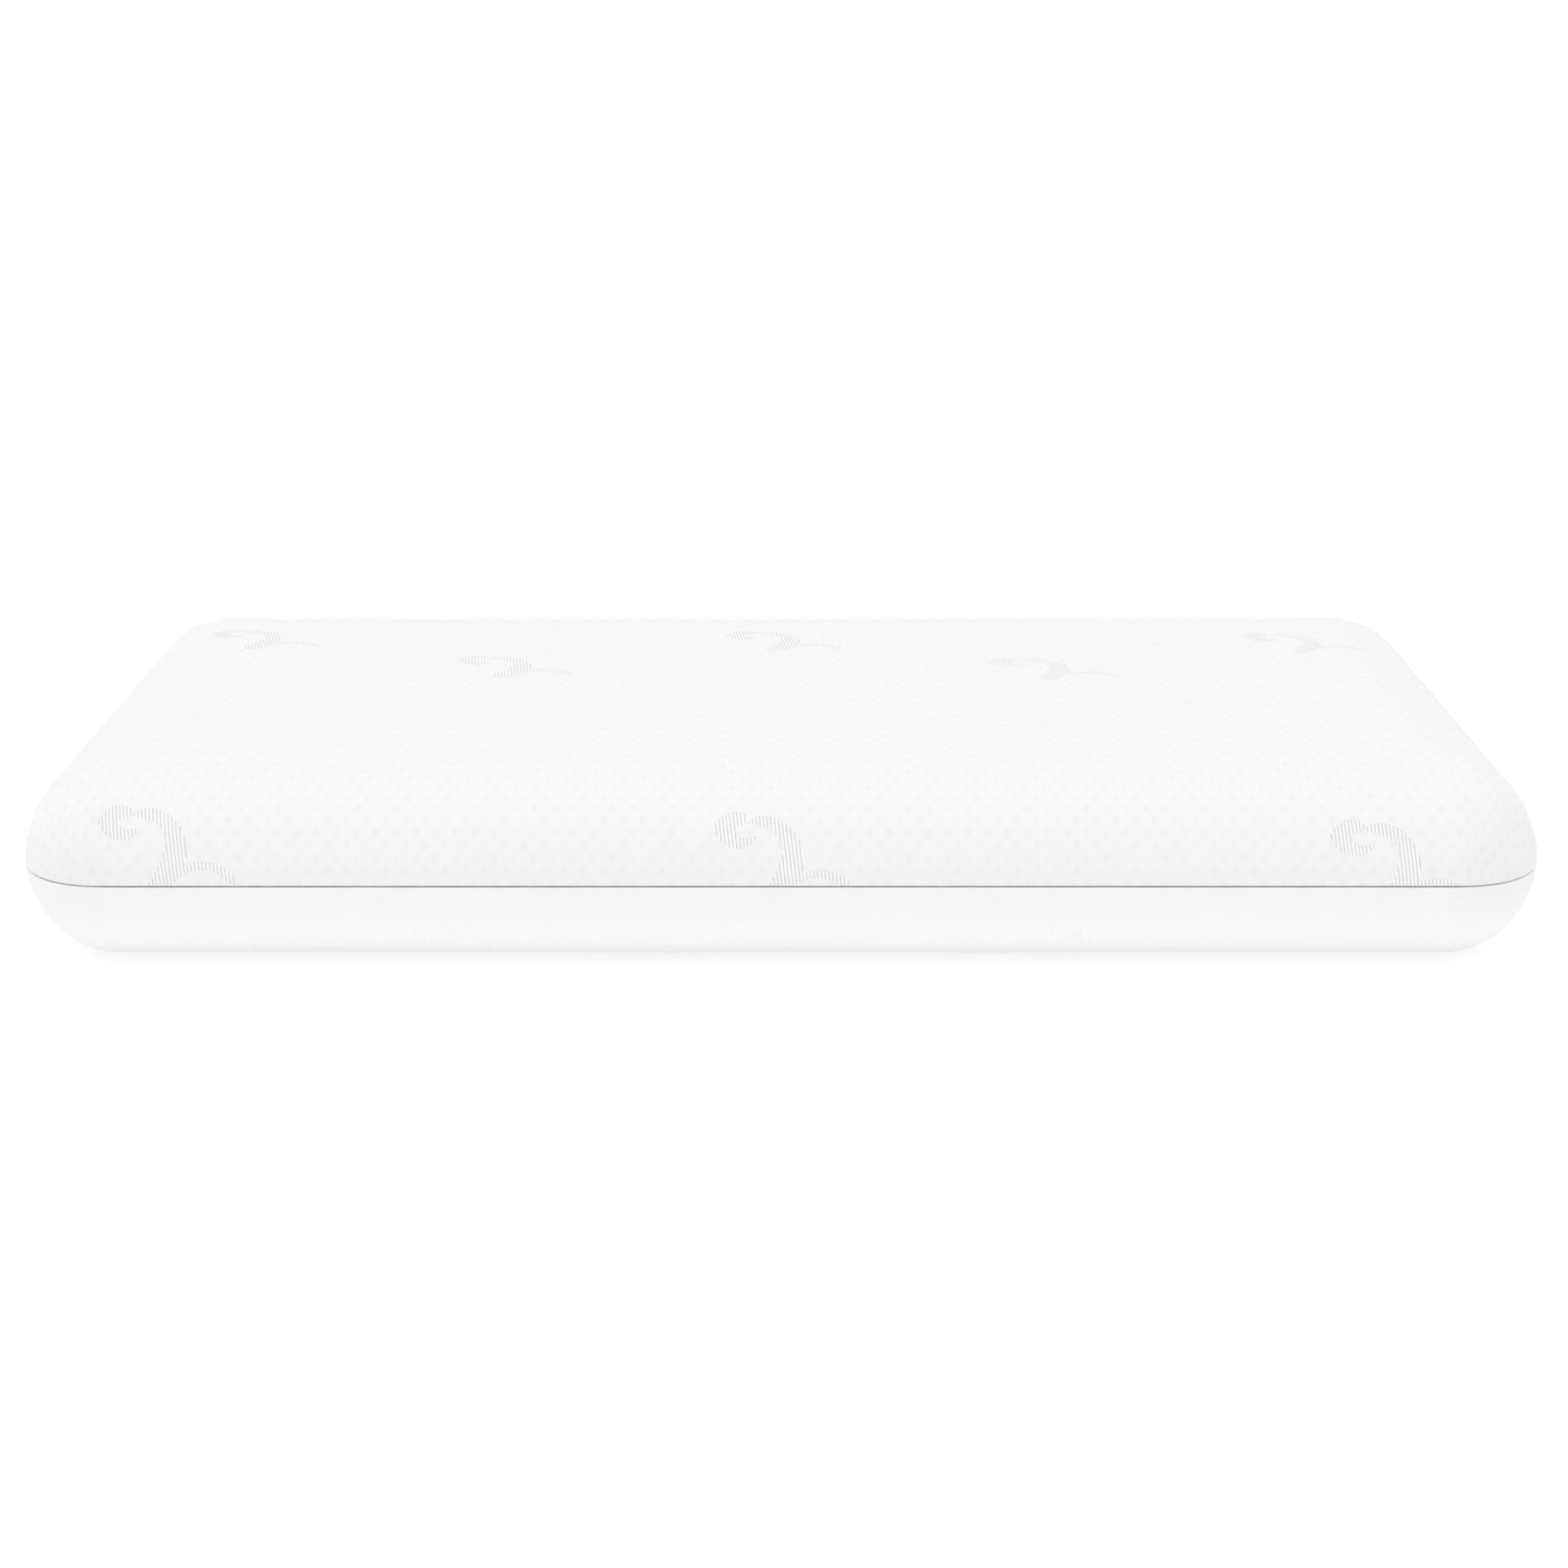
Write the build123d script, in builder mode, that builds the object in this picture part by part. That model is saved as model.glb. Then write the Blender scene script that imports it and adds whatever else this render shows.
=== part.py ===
from build123d import *
import os

# A foam mattress in a two-part knitted cover that a zip joins right round its sides.
# X runs along the length, Y across the width and Z up from the face it lies on.
# All sizes are in millimetres.

# ---- overall size -------------------------------------------------------------
length = 1900.0
width = 900.0
height = 250.0
plan_corner = 120.0
zip_height = 122.0
edge_reach = 108.0

# ---- covers and foam ----------------------------------------------------------
cover_thickness = 3.0
cover_lip = 3.5
sleeve_side = 6.5
sleeve_top = 3.5
sleeve_thickness = 1.0
sleeve_slit_width = 500.0
sleeve_slit_height = 2.0
foam_gap = 0.2
memory_foam_thickness = 50.0
adhesive_thickness = 0.4

# ---- zip chain ----------------------------------------------------------------
coil_inset = 0.9
coil_depth = 2.9
coil_inner_edge = 1.2
coil_outer_edge = 3.3
tape_inset = 3.8
tape_thickness = 0.7
tape_inner_edge = 1.4
tape_outer_edge = 13.0
thread_depth = 0.5
thread_near_edge = 9.6
thread_far_edge = 10.8
chain_end_x = -800.0
chain_gap = 16.0
tape_gap = 2.0
cutter_depth = 40.0
cutter_height = 60.0
stop_length = 3.0

# ---- zip slider and pull tab --------------------------------------------------
slider_x = -764.0
slider_length = 13.0
slider_mouth = 9.4
slider_tail = 7.0
slider_clear = 0.4
slider_front_plate = 1.3
slider_back_plate = 1.2
slider_edge_round = 0.3
neck_length = 2.6
neck_height = 1.8
crown_length = 8.8
crown_width = 3.0
crown_height = 3.5
crown_wall = 1.0
crown_leg = 1.8
pull_thickness = 1.4
pull_length = 26.0
pull_width = 7.0
pull_window_length = 6.8
pull_window_width = 4.0
pull_slot_length = 9.0
pull_slot_width = 2.6
pull_round = 1.6

# ---- garage and label ---------------------------------------------------------
garage_length = 46.0
garage_height = 26.0
garage_thickness = 1.2
garage_round = 3.2
label_x = 800.0
label_width = 48.0
label_drop = 80.0
label_thickness = 0.5
label_clear = 0.1

# ---- sizes that follow from the ones above ------------------------------------
inner_length = length - 2 * edge_reach
inner_width = width - 2 * edge_reach
inner_corner = plan_corner - edge_reach
rear_face = width / 2
foam_side = sleeve_side + sleeve_thickness + foam_gap
foam_top = sleeve_top + sleeve_thickness + foam_gap
memory_foam_base = height - foam_top - memory_foam_thickness
base_foam_top = memory_foam_base - adhesive_thickness
slider_front = rear_face + slider_clear
slider_crown_base = slider_front + slider_front_plate
slider_back = rear_face - tape_inset - tape_thickness - slider_clear
pull_axis_y = slider_crown_base + slider_clear + pull_thickness / 2

os.makedirs("parts", exist_ok=True)


def finish(piece, name):
    """Label a finished piece and write its file."""
    piece.part.label = name
    export_step(piece.part, f"parts/{name}.step")


def rounded_slab(side, face):
    """The mattress's outer form, set back by side at the zip line and by face at top and bottom.

    The sides are full bullnoses: a quarter ellipse above the zip line and one below it.
    """
    reach = edge_reach - side
    rise = height - zip_height - face
    drop = zip_height - face
    with BuildLine(Plane.XY.offset(zip_height)) as rail:
        FilletPolyline(
            (-inner_length / 2, -inner_width / 2),
            (inner_length / 2, -inner_width / 2),
            (inner_length / 2, inner_width / 2),
            (-inner_length / 2, inner_width / 2),
            radius=inner_corner,
            close=True,
        )
    start = rail.line @ 0
    along = rail.line % 0
    outward = along.cross(Vector(0, 0, 1))
    with BuildPart() as slab:
        with BuildSketch(Plane.XY.offset(face)):
            RectangleRounded(inner_length, inner_width, inner_corner)
        extrude(amount=height - 2 * face)
        with BuildSketch(Plane(origin=start, x_dir=outward, z_dir=-along)):
            with BuildLine():
                Line((0, -drop), (0, rise))
                EllipticalCenterArc((0, 0), reach, rise, start_angle=0, arc_size=90)
                EllipticalCenterArc((0, 0), reach, drop, start_angle=270, arc_size=90)
            make_face()
        sweep(path=rail.line)
    return slab.part


def band(inset, depth, low, high):
    """A strip that runs right round the mattress at the zip, from low to high above its line."""
    inner = inset + depth
    with BuildPart() as strip:
        with BuildSketch(Plane.XY.offset(zip_height + low)):
            RectangleRounded(length - 2 * inset, width - 2 * inset, plan_corner - inset)
            RectangleRounded(
                length - 2 * inner, width - 2 * inner, plan_corner - inner, mode=Mode.SUBTRACT
            )
        extrude(amount=high - low)
    return strip.part


def cut_at_chain_end(gap):
    """Open the strip in the active part where the two ends of the zip meet, at the back."""
    with Locations((chain_end_x, rear_face, zip_height)):
        Box(gap, cutter_depth, cutter_height, mode=Mode.SUBTRACT)


def add_stops(low, high):
    """The two crimped stops that close the ends of one row of zip coil."""
    place_y = rear_face - coil_inset - coil_depth / 2
    place_z = zip_height + (low + high) / 2
    for side in (-1, 1):
        place_x = chain_end_x + side * (chain_gap - stop_length) / 2
        with Locations((place_x, place_y, place_z)):
            Box(stop_length, coil_depth, high - low)


outer_form = rounded_slab(0, 0)
cover_lining = rounded_slab(cover_thickness, cover_thickness)
sleeve_outside = rounded_slab(sleeve_side, sleeve_top)
sleeve_inside = rounded_slab(sleeve_side + sleeve_thickness, sleeve_top + sleeve_thickness)
foam_form = rounded_slab(foam_side, foam_top)

# ---- lower cover: bottom panel and lower half of the sides ----------------------
with BuildPart() as base_cover:
    add(outer_form)
    add(cover_lining, mode=Mode.SUBTRACT)
    split(bisect_by=Plane.XY.offset(zip_height - cover_lip), keep=Keep.BOTTOM)
finish(base_cover, "base_cover")

# ---- upper cover: sleeping face and upper half of the sides ---------------------
with BuildPart() as top_cover:
    add(outer_form)
    add(cover_lining, mode=Mode.SUBTRACT)
    split(bisect_by=Plane.XY.offset(zip_height + cover_lip), keep=Keep.TOP)
finish(top_cover, "top_cover")

# ---- zip tapes, one sewn behind the lip of each cover ---------------------------
with BuildPart() as lower_zip_tape:
    add(band(tape_inset, tape_thickness, -tape_outer_edge, -tape_inner_edge))
    cut_at_chain_end(tape_gap)
finish(lower_zip_tape, "lower_zip_tape")

with BuildPart() as upper_zip_tape:
    add(band(tape_inset, tape_thickness, tape_inner_edge, tape_outer_edge))
    cut_at_chain_end(tape_gap)
finish(upper_zip_tape, "upper_zip_tape")

# ---- zip coils, each a plain bar round its row of loops -------------------------
with BuildPart() as lower_zip_coil:
    add(band(coil_inset, coil_depth, -coil_outer_edge, -coil_inner_edge))
    cut_at_chain_end(chain_gap)
finish(lower_zip_coil, "lower_zip_coil")

with BuildPart() as upper_zip_coil:
    add(band(coil_inset, coil_depth, coil_inner_edge, coil_outer_edge))
    cut_at_chain_end(chain_gap)
finish(upper_zip_coil, "upper_zip_coil")

# ---- stops at the ends of each coil ---------------------------------------------
with BuildPart() as lower_chain_stops:
    add_stops(-coil_outer_edge, -coil_inner_edge)
finish(lower_chain_stops, "lower_chain_stops")

with BuildPart() as upper_chain_stops:
    add_stops(coil_inner_edge, coil_outer_edge)
finish(upper_chain_stops, "upper_chain_stops")

# ---- the seams that sew the tapes in, on the tapes' inner face ------------------
thread_inset = tape_inset + tape_thickness

with BuildPart() as lower_tape_stitching:
    add(band(thread_inset, thread_depth, -thread_far_edge, -thread_near_edge))
    cut_at_chain_end(tape_gap)
finish(lower_tape_stitching, "lower_tape_stitching")

with BuildPart() as upper_tape_stitching:
    add(band(thread_inset, thread_depth, thread_near_edge, thread_far_edge))
    cut_at_chain_end(tape_gap)
finish(upper_tape_stitching, "upper_tape_stitching")

# ---- zip slider: two plates joined by a neck, with a crown for the pull tab -----
with BuildPart() as zip_slider:
    for plate_y, plate_depth in (
        (slider_crown_base, slider_front_plate),
        (slider_back, slider_back_plate),
    ):
        with BuildSketch(Plane((slider_x, plate_y, zip_height), x_dir=(1, 0, 0), z_dir=(0, -1, 0))):
            with BuildLine():
                Polyline(
                    (-slider_length / 2, -slider_mouth / 2),
                    (0, -slider_mouth / 2),
                    (slider_length / 2, -slider_tail / 2),
                    (slider_length / 2, slider_tail / 2),
                    (0, slider_mouth / 2),
                    (-slider_length / 2, slider_mouth / 2),
                    close=True,
                )
            plate = make_face()
            fillet(plate.vertices(), radius=pull_round)
        extrude(amount=plate_depth)
    fillet(zip_slider.edges().group_by(Axis.Y)[-1], radius=slider_edge_round)
    neck_depth = slider_front - slider_back
    neck_x = slider_x - slider_length / 2 + neck_length
    with Locations((neck_x, slider_back + neck_depth / 2, zip_height)):
        Box(neck_length, neck_depth, neck_height)
    with BuildSketch(Plane.XY.offset(zip_height - crown_width / 2)):
        with BuildLine():
            crown_top = slider_crown_base + crown_height
            Polyline(
                (slider_x - crown_length / 2, slider_crown_base),
                (slider_x - crown_length / 2 + crown_wall, crown_top),
                (slider_x + crown_length / 2 - crown_wall, crown_top),
                (slider_x + crown_length / 2, slider_crown_base),
                close=True,
            )
        make_face()
        window = crown_length - 2 * crown_leg
        with Locations((slider_x, slider_crown_base + (crown_height - crown_wall) / 2)):
            Rectangle(window, crown_height - crown_wall, mode=Mode.SUBTRACT)
    extrude(amount=crown_width)
finish(zip_slider, "zip_slider")

# ---- pull tab: its bar turns under the slider's crown ---------------------------
with BuildPart() as zip_pull_tab:
    face_y = pull_axis_y + pull_thickness / 2
    with BuildSketch(Plane((slider_x, face_y, zip_height), x_dir=(1, 0, 0), z_dir=(0, -1, 0))):
        with Locations((pull_length / 2, 0)):
            RectangleRounded(pull_length, pull_width, pull_round)
        with Locations((pull_window_length / 2 + pull_thickness / 2, 0)):
            Rectangle(pull_window_length, pull_window_width, mode=Mode.SUBTRACT)
        with Locations((pull_length - pull_slot_length / 2 - pull_round, 0)):
            SlotOverall(pull_slot_length, pull_slot_width, mode=Mode.SUBTRACT)
    extrude(amount=pull_thickness)
    with Locations(
        Plane((slider_x + pull_thickness / 2, pull_axis_y, zip_height), z_dir=(0, 0, 1))
    ):
        Cylinder(pull_thickness / 2, pull_window_width)
finish(zip_pull_tab, "zip_pull_tab")

# ---- garage: the patch that covers the meeting ends of the zip ------------------
with BuildPart() as zip_garage:
    garage_depth = garage_thickness + slider_clear
    with Locations((chain_end_x, rear_face + garage_depth / 2, zip_height)):
        Box(garage_length, garage_depth, garage_height)
    fillet(zip_garage.edges().filter_by(Axis.Y), radius=garage_round)
    upper_half = garage_height / 2 + cover_lip
    with Locations((chain_end_x, rear_face, zip_height - cover_lip + upper_half / 2)):
        Box(garage_length, 2 * slider_clear, upper_half, mode=Mode.SUBTRACT)
finish(zip_garage, "zip_garage")

# ---- care label, sewn into the lower cover's lip at the back --------------------
label_inside = rounded_slab(-label_clear, -label_clear)
label_outside = rounded_slab(-label_clear - label_thickness, -label_clear - label_thickness)
label_top = zip_height - cover_lip

with BuildPart() as care_label:
    with Locations((label_x, rear_face, label_top - label_drop / 2)):
        Box(label_width, 2 * edge_reach, label_drop)
    add(label_outside, mode=Mode.INTERSECT)
    add(label_inside, mode=Mode.SUBTRACT)
finish(care_label, "care_label")

# ---- inner sleeve round the foam, open at a slit in one end ---------------------
with BuildPart() as inner_sleeve:
    add(sleeve_outside)
    add(sleeve_inside, mode=Mode.SUBTRACT)
    with Locations((length / 2, 0, zip_height)):
        Box(edge_reach, sleeve_slit_width, sleeve_slit_height, mode=Mode.SUBTRACT)
finish(inner_sleeve, "inner_sleeve")

with BuildPart() as sleeve_closing_seam:
    add(sleeve_outside)
    add(sleeve_inside, mode=Mode.SUBTRACT)
    seam_height = sleeve_slit_height - 2 * foam_gap
    with Locations((length / 2, 0, zip_height)):
        Box(edge_reach, sleeve_slit_width, seam_height, mode=Mode.INTERSECT)
finish(sleeve_closing_seam, "sleeve_closing_seam")

# ---- foam core: firm block, adhesive and the memory foam on top -----------------
with BuildPart() as base_foam_block:
    add(foam_form)
    split(bisect_by=Plane.XY.offset(base_foam_top), keep=Keep.BOTTOM)
finish(base_foam_block, "base_foam_block")

with BuildPart() as adhesive_film:
    add(foam_form)
    split(bisect_by=Plane.XY.offset(base_foam_top), keep=Keep.TOP)
    split(bisect_by=Plane.XY.offset(memory_foam_base), keep=Keep.BOTTOM)
finish(adhesive_film, "adhesive_film")

with BuildPart() as memory_foam_layer:
    add(foam_form)
    split(bisect_by=Plane.XY.offset(memory_foam_base), keep=Keep.TOP)
finish(memory_foam_layer, "memory_foam_layer")
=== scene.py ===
import math

import bmesh
import bpy
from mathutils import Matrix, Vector, noise


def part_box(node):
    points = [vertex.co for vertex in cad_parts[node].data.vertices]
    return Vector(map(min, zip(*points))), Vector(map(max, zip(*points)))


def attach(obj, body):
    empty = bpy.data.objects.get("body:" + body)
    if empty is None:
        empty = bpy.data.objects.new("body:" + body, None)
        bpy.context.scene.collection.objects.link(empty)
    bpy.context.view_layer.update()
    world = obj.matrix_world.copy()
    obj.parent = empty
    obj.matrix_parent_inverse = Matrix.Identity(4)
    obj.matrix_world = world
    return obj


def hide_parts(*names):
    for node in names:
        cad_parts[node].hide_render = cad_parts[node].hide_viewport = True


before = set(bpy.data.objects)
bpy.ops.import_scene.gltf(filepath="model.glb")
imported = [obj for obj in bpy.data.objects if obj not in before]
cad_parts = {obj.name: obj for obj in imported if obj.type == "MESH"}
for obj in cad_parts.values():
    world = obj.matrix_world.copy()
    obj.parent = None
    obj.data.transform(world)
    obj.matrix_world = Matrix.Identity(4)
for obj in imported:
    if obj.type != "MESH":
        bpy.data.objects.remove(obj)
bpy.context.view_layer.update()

# ---- base foam block ------------------------------------------------------------
# The firm block that carries the mattress: pale polyurethane foam, contour-cut to the
# rounded form of the sides and sawn level on top, where the memory foam is glued on.
edge_reach = 0.108
plan_corner = 0.120
panel_cuts = (100, 41)
corner_steps = 10
edge_rows = 12
weld_distance = 0.00002
base_foam_colour = (0.74, 0.79, 0.80, 1)
base_foam_pores = 520.0
base_foam_pore_depth = 0.0006

base_cover_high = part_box("base_cover")[1]
top_cover_low, top_cover_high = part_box("top_cover")
length = top_cover_high.x - top_cover_low.x
width = top_cover_high.y - top_cover_low.y
height = top_cover_high.z
zip_height = (base_cover_high.z + top_cover_low.z) / 2
panel_length = length - 2 * edge_reach
panel_width = width - 2 * edge_reach
panel_corner = plan_corner - edge_reach
straight = Vector((length / 2 - plan_corner, width / 2 - plan_corner))
quarter_turn = math.pi / 2


def pick(piece):
    """Leave this piece alone selected and active, in object mode."""
    if bpy.context.object and bpy.context.object.mode == "EDIT":
        bpy.ops.object.mode_set(mode="OBJECT")
    bpy.ops.object.select_all(action="DESELECT")
    piece.select_set(True)
    bpy.context.view_layer.objects.active = piece


def apply_modifier(piece, kind, **settings):
    """Add a modifier with these settings and apply it to the mesh."""
    pick(piece)
    modifier = piece.modifiers.new(kind.title(), kind)
    for key, value in settings.items():
        setattr(modifier, key, value)
    bpy.ops.object.modifier_apply(modifier=modifier.name)


def select_edges(piece, wanted):
    """In edit mode, select the edges for which wanted(edge) holds, and no others."""
    bpy.ops.mesh.select_mode(type="EDGE")
    bpy.ops.mesh.select_all(action="DESELECT")
    mesh = bmesh.from_edit_mesh(piece.data)
    for edge in mesh.edges:
        edge.select = wanted(edge)
    mesh.select_flush_mode()
    bmesh.update_edit_mesh(piece.data)


def from_rim(x, y):
    """The centre that the panel's rim turns about at this spot, and the way out from it."""
    centre = Vector((max(-straight.x, min(straight.x, x)), max(-straight.y, min(straight.y, y))))
    return centre, Vector((x, y)) - centre


def flat_panel(name, level):
    """A level panel with round corners, cut into squares: the middle of a foam or cloth form."""
    bpy.ops.object.select_all(action="DESELECT")
    bpy.ops.mesh.primitive_plane_add(size=1, location=(0, 0, level))
    panel = bpy.context.object
    panel.name = name
    panel.scale = (panel_length, panel_width, 1)
    bpy.ops.object.transform_apply(location=True, rotation=True, scale=True)
    bpy.ops.object.mode_set(mode="EDIT")
    bpy.ops.mesh.select_all(action="SELECT")
    bpy.ops.mesh.bevel(offset=panel_corner, segments=corner_steps, affect="VERTICES")
    for axis, cuts in enumerate(panel_cuts):

        def runs_along(edge):
            return abs((edge.verts[0].co - edge.verts[1].co)[axis]) > straight[axis]

        select_edges(panel, runs_along)
        bpy.ops.mesh.subdivide(number_cuts=cuts)
    return panel


def carry_rim(panel, profile):
    """Extrude the panel's rim through each (outward, level) place of the profile in turn."""
    select_edges(panel, lambda edge: edge.is_boundary)
    for outward, level in profile:
        bpy.ops.mesh.extrude_region_move()
        mesh = bmesh.from_edit_mesh(panel.data)
        for vertex in mesh.verts:
            if vertex.select:
                centre, way = from_rim(vertex.co.x, vertex.co.y)
                place = centre + way.normalized() * (panel_corner + outward)
                vertex.co = (place.x, place.y, level)
        bmesh.update_edit_mesh(panel.data)


def rise_of(up, face):
    """How far the rounded edge goes up or down from the zip line to this face."""
    return (height - zip_height if up > 0 else zip_height) - face


def rounded_edge(up, side, face, first, last, rows):
    """Places along the quarter-elliptical edge, between two angles above or below the zip line."""
    places = []
    for row in range(1, rows + 1):
        angle = first + (last - first) * row / rows
        outward = (edge_reach - side) * math.cos(angle)
        places.append((outward, zip_height + up * rise_of(up, face) * math.sin(angle)))
    return places


def angle_at(up, face, level):
    """The angle on the rounded edge at which it reaches this level."""
    return math.asin(abs(level - zip_height) / rise_of(up, face))


def face_outwards(piece):
    """Merge doubles and turn every face outwards."""
    pick(piece)
    bpy.ops.object.mode_set(mode="EDIT")
    bpy.ops.mesh.select_all(action="SELECT")
    bpy.ops.mesh.remove_doubles(threshold=weld_distance)
    bpy.ops.mesh.normals_make_consistent(inside=False)
    bpy.ops.object.mode_set(mode="OBJECT")


def foam_form(name, node, profile, level):
    """A closed foam solid: a panel whose rim is carried along the profile and sawn level there."""
    form = flat_panel(name, level)
    carry_rim(form, profile)
    bpy.ops.mesh.edge_face_add()
    face_outwards(form)
    bpy.ops.object.shade_smooth_by_angle(angle=math.radians(40))
    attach(form, "foam_core")
    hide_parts(node)
    return form


def feed(tree, socket, value):
    """Give an input a number, a colour or another node's output."""
    if isinstance(value, bpy.types.NodeSocket):
        tree.links.new(value, socket)
    else:
        socket.default_value = value


def put(tree, kind, feeds=None, **settings):
    """Add a shader node with these properties and inputs."""
    node = tree.nodes.new("ShaderNode" + kind)
    for key, value in settings.items():
        setattr(node, key, value)
    for socket, value in (feeds or {}).items():
        feed(tree, node.inputs[socket], value)
    return node


def calc(tree, operation, *values):
    """One step of arithmetic on numbers or node outputs."""
    return put(tree, "Math", dict(enumerate(values)), operation=operation).outputs[0]


def tint(tree, amount, dark, light):
    """A colour that goes from dark to light with the amount."""
    return put(tree, "Mix", {0: amount, 6: dark, 7: light}, data_type="RGBA").outputs[2]


def new_group(name, inputs, outputs):
    """A node group with named inputs and outputs; returns it with its two end nodes' sockets."""
    group = bpy.data.node_groups.new(name, "ShaderNodeTree")
    for label, kind in inputs:
        group.interface.new_socket(label, in_out="INPUT", socket_type="NodeSocket" + kind)
    for label, kind in outputs:
        group.interface.new_socket(label, in_out="OUTPUT", socket_type="NodeSocket" + kind)
    start = group.nodes.new("NodeGroupInput")
    end = group.nodes.new("NodeGroupOutput")
    return group, start.outputs, end.inputs


def use_group(tree, group, feeds):
    """Place a node group in a material or in another group, with its own values."""
    return put(tree, "Group", feeds, node_tree=group).outputs


def new_material(name, roughness):
    """A material with its Principled shader ready; returns the material, its tree and the shader."""
    material = bpy.data.materials.new(name)
    material.use_nodes = True
    shader = material.node_tree.nodes["Principled BSDF"]
    shader.inputs["Roughness"].default_value = roughness
    return material, material.node_tree, shader


def raise_relief(tree, shader, relief, distance):
    """Turn a relief into the shader's normal, this deep in metres."""
    bump = put(tree, "Bump", {"Height": relief, "Distance": distance})
    tree.links.new(bump.outputs[0], shader.inputs["Normal"])


def dress(piece, material):
    """Give a piece one material all over."""
    piece.data.materials.clear()
    piece.data.materials.append(material)


# Foam cells: fine open pores, and a tone that is painted shade in the pores, varied by a slow drift.
foam_cells, cells_in, cells_out = new_group(
    "foam_cells", [("Place", "Vector"), ("Pores", "Float")], [("Relief", "Float"), ("Tone", "Float")]
)
pores = put(foam_cells, "TexVoronoi", {"Vector": cells_in["Place"], "Scale": cells_in["Pores"]})
drift = put(foam_cells, "TexNoise", {"Vector": cells_in["Place"], "Scale": 9.0, "Detail": 4.0})
pitted = calc(foam_cells, "POWER", pores.outputs["Distance"], 0.6)
foam_cells.links.new(pitted, cells_out["Relief"])
foam_cells.links.new(calc(foam_cells, "MULTIPLY", pitted, drift.outputs[0]), cells_out["Tone"])


def foam_material(name, colour, pore_scale, depth):
    """Open-celled foam of one colour, with painted shade in its pores."""
    material, tree, shader = new_material(name, 0.95)
    place = put(tree, "TexCoord").outputs["Object"]
    cells = use_group(tree, foam_cells, {"Place": place, "Pores": pore_scale})
    # Painted shade: the foam's colour falls to 0.8 of itself in the pores, where the relief is low.
    dark = tuple(channel * 0.8 for channel in colour[:3]) + (1,)
    tree.links.new(tint(tree, cells["Tone"], dark, colour), shader.inputs["Base Color"])
    raise_relief(tree, shader, cells["Relief"], depth)
    return material


foam_low, base_foam_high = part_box("base_foam_block")
foam_side = length / 2 - base_foam_high.x
sawn = angle_at(1, foam_low.z, base_foam_high.z)
base_profile = rounded_edge(-1, foam_side, foam_low.z, quarter_turn, 0, edge_rows)
base_profile += rounded_edge(1, foam_side, foam_low.z, 0, sawn, edge_rows // 2)
base_foam = foam_form("base_foam", "base_foam_block", base_profile, foam_low.z)
base_foam_material = foam_material(
    "base_foam_open_cell", base_foam_colour, base_foam_pores, base_foam_pore_depth
)
dress(base_foam, base_foam_material)

# ---- adhesive film --------------------------------------------------------------
# Water-based contact adhesive sprayed between the two foams: a thin tacky film with the
# speckle of the spray gun. Its own CAD film has the right shape, so it is kept.
spray_speckle = 260.0
adhesive_dark = (0.70, 0.66, 0.50, 1)
adhesive_light = (0.84, 0.82, 0.70, 1)

adhesive_material, tree, shader = new_material("sprayed_adhesive", 0.35)
film_place = put(tree, "TexCoord").outputs["Object"]
speckle = put(tree, "TexVoronoi", {0: film_place, "Scale": spray_speckle}).outputs[0]
tree.links.new(tint(tree, speckle, adhesive_dark, adhesive_light), shader.inputs["Base Color"])
raise_relief(tree, shader, speckle, 0.0003)
dress(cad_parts["adhesive_film"], adhesive_material)

# ---- memory foam layer ----------------------------------------------------------
# The slow-recovery viscoelastic foam under the sleeping face: denser, creamier and with
# finer cells than the base block. It is glued to the block and rounded with it.
memory_foam_colour = (0.87, 0.82, 0.67, 1)
memory_foam_pores = 900.0
memory_foam_pore_depth = 0.0003

memory_low, memory_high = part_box("memory_foam_layer")
memory_face = height - memory_high.z
glued = angle_at(1, memory_face, memory_low.z)
memory_profile = rounded_edge(1, foam_side, memory_face, quarter_turn, glued, edge_rows // 2)
memory_foam = foam_form("memory_foam", "memory_foam_layer", memory_profile, memory_high.z)
memory_foam_material = foam_material(
    "memory_foam_fine_cell", memory_foam_colour, memory_foam_pores, memory_foam_pore_depth
)
dress(memory_foam, memory_foam_material)

# ---- inner sleeve and its closing seam ------------------------------------------
# A tubular knitted sock, pulled over the glued core to protect it and hold it together
# while the cover is off. It fits closely, ripples a little at the sides, and is closed
# at one end by a row of crossed stitches.
sleeve_thickness = 0.0009
sleeve_ripple = 0.0003
sleeve_colour = (0.82, 0.80, 0.75, 1)
sleeve_painted_shade = (0.62, 0.60, 0.55, 1)
thread_colour = (0.90, 0.90, 0.88, 1)
thread_painted_shade = (0.70, 0.70, 0.68, 1)
sleeve_stitch_size = (0.0056, 0.0007, 0.0007)
sleeve_stitch_pitch = 0.0040
sleeve_stitch_lean = 0.9
sleeve_column = 0.0030
sleeve_course = 0.0022
ply_scale = 420.0
sleeve_band_scale = 24.0


def half_skin(name, up, side, face, lip):
    """Half of a cloth skin, open at its lip: the flat panel and the rounded edge beyond it."""
    level = height - face if up > 0 else face
    skin = flat_panel(name, level)
    stop = angle_at(up, face, lip[0][1]) if lip else 0
    edge = rounded_edge(up, side, face, quarter_turn, stop, edge_rows)
    carry_rim(skin, edge[:-1] + lip if lip else edge)
    face_outwards(skin)
    return skin


def quarter_length(up, side, face):
    """The cloth's length over the rounded edge, from the panel's rim to the zip line."""
    return quarter_turn * math.sqrt((rise_of(up, face) ** 2 + (edge_reach - side) ** 2) / 2)


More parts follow.
